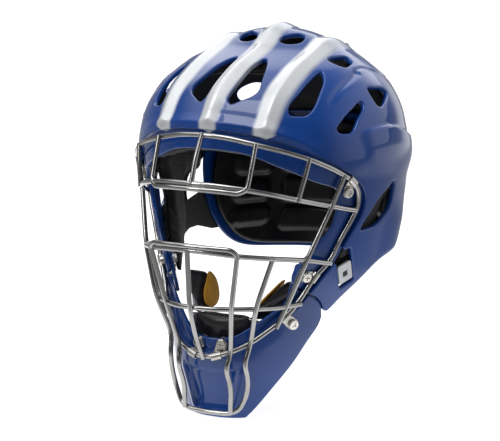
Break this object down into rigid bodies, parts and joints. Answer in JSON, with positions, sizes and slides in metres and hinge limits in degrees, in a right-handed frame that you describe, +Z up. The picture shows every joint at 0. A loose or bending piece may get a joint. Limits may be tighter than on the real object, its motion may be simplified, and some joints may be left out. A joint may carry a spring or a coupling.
{
  "type": "catcher helmet",
  "caption": "Full-face catcher helmet: vented shell with raised crown ribs, chin guard, welded wire cage, inner pads and a sprung back plate on elastic straps.",
  "frame": {"origin": "centre of the bounding box's bottom face; the lowest face is the flat land under the chin", "axes": "+X the wearer's left, -Y the front (face side), +Z up, helmet upright as worn"},
  "size_m": [0.226, 0.2792, 0.3121],
  "materials": {
    "shell_blue": "royal blue clear-coated gloss; the three ribs are painted silver in the visual model",
    "guard_blue": "royal blue clear-coated gloss",
    "plate_blue": "royal blue gloss",
    "cage_wire": "dark bright steel wire",
    "clip_steel": "satin steel strip",
    "screw_nickel": "nickel-plated",
    "nut_steel": "zinc-plated",
    "pad_black": "black padding",
    "plate_pad_black": "black moulded padding, slight sheen",
    "comfort_yellow": "golden yellow comfort face",
    "strap_black": "black elastic webbing",
    "tab_pale": "pale silver-white plastic",
    "post_black": "black plastic",
    "rivet_steel": "steel"
  },
  "bodies": {
    "helmet": {"front_shell": "shell_blue", "chin_guard": "guard_blue", "cage_rim": "cage_wire", "cage_eye_bar": "cage_wire", "cage_eye_loop": "cage_wire", "cage_brow_posts": "cage_wire", "cage_side_bars": "cage_wire", "cage_nose_bar": "cage_wire", "cage_nose_loop": "cage_wire", "cage_lower_loop": "cage_wire", "cage_centre_bar": "cage_wire", "cage_mouth_bar": "cage_wire", "temple_clips": "clip_steel", "cheek_clips": "clip_steel", "jaw_clips": "clip_steel", "chin_clips": "clip_steel", "cage_screws": "screw_nickel", "cage_nuts": "nut_steel", "forehead_pad": "pad_black", "crown_pad_front": "pad_black", "crown_pad_rear": "pad_black", "ear_pad_left": "pad_black", "ear_pad_right": "pad_black", "jaw_pad_left": "pad_black", "jaw_pad_right": "pad_black", "jaw_face_left": "comfort_yellow", "jaw_face_right": "comfort_yellow", "chin_pad": "pad_black", "strap_post_left": "post_black", "strap_post_right": "post_black", "shell_rivets": "rivet_steel"},
    "back_plate": {"back_plate": "plate_blue", "plate_pad": "plate_pad_black", "plate_rivets": "rivet_steel", "side_strap_left": "strap_black", "side_strap_right": "strap_black", "top_strap": "strap_black"},
    "tab_left": {"strap_tab_left": "tab_pale"},
    "tab_right": {"strap_tab_right": "tab_pale"}
  },
  "joints": [
    {"name": "back_plate_flex", "type": "hinge", "parent": "helmet", "child": "back_plate", "pos_m": [0, 0.132, 0.2125], "axis": [1, 0, 0], "range_deg": [0, 18], "stiffness_Nm_per_rad": 1.5, "springref_deg": -17.19, "deforming": ["side_strap_left", "side_strap_right", "top_strap"]},
    {"name": "tab_left_lift", "type": "hinge", "parent": "helmet", "child": "tab_left", "pos_m": [0.08601, -0.0304, 0.12333], "axis": [-0.3982, -0.8483, -0.349], "range_deg": [0, 35], "stiffness_Nm_per_rad": 0.01, "springref_deg": -17.19},
    {"name": "tab_right_lift", "type": "hinge", "parent": "helmet", "child": "tab_right", "pos_m": [-0.08601, -0.0304, 0.12333], "axis": [-0.3982, 0.8483, 0.349], "range_deg": [0, 35], "stiffness_Nm_per_rad": 0.01, "springref_deg": -17.19}
  ]
}
